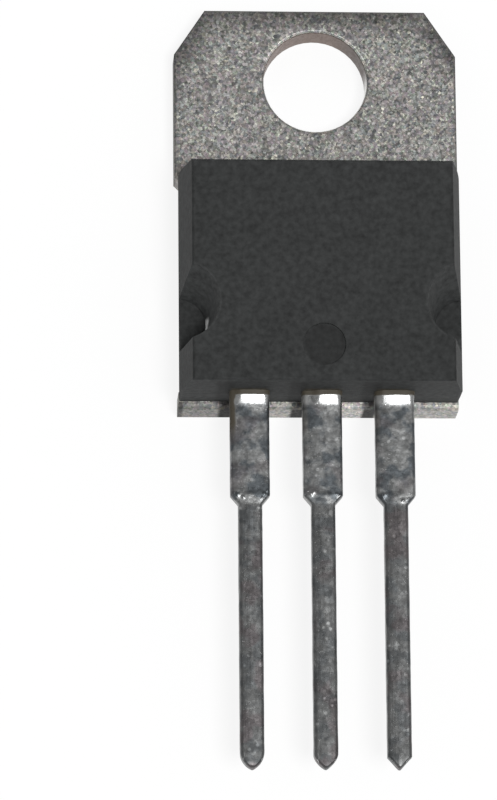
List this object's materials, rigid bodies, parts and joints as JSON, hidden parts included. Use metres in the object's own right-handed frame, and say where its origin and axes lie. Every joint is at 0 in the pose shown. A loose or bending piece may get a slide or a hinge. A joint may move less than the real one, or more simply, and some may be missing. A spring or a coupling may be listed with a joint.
{
  "type": "power transistor",
  "caption": "Power transistor: plated metal tab with a mounting hole, drafted dark epoxy body with flared side notches, and a row of flat stepped solder leads.",
  "frame": {"origin": "where the axis of the mounting hole meets the seating face of the tab", "axes": "+Z out of the marking face, along the mounting hole; -Y along the leads; +X towards the emitter lead, so the base lead is on the left when the marking face is seen with the leads down"},
  "size_m": [0.01, 0.0277, 0.0045],
  "materials": {
    "plated_copper": "satin",
    "moulding_epoxy": "matte",
    "tinned_lead": "satin",
    "die_solder": "satin",
    "silicon": "gloss",
    "bond_wire": "satin"
  },
  "bodies": {
    "root": {"heat_spreader": "plated_copper", "moulded_body": "moulding_epoxy", "base_lead": "tinned_lead", "collector_lead": "tinned_lead", "emitter_lead": "tinned_lead", "die_attach_solder": "die_solder", "silicon_die": "silicon", "base_wire": "bond_wire", "emitter_wires": "bond_wire"}
  },
  "joints": []
}
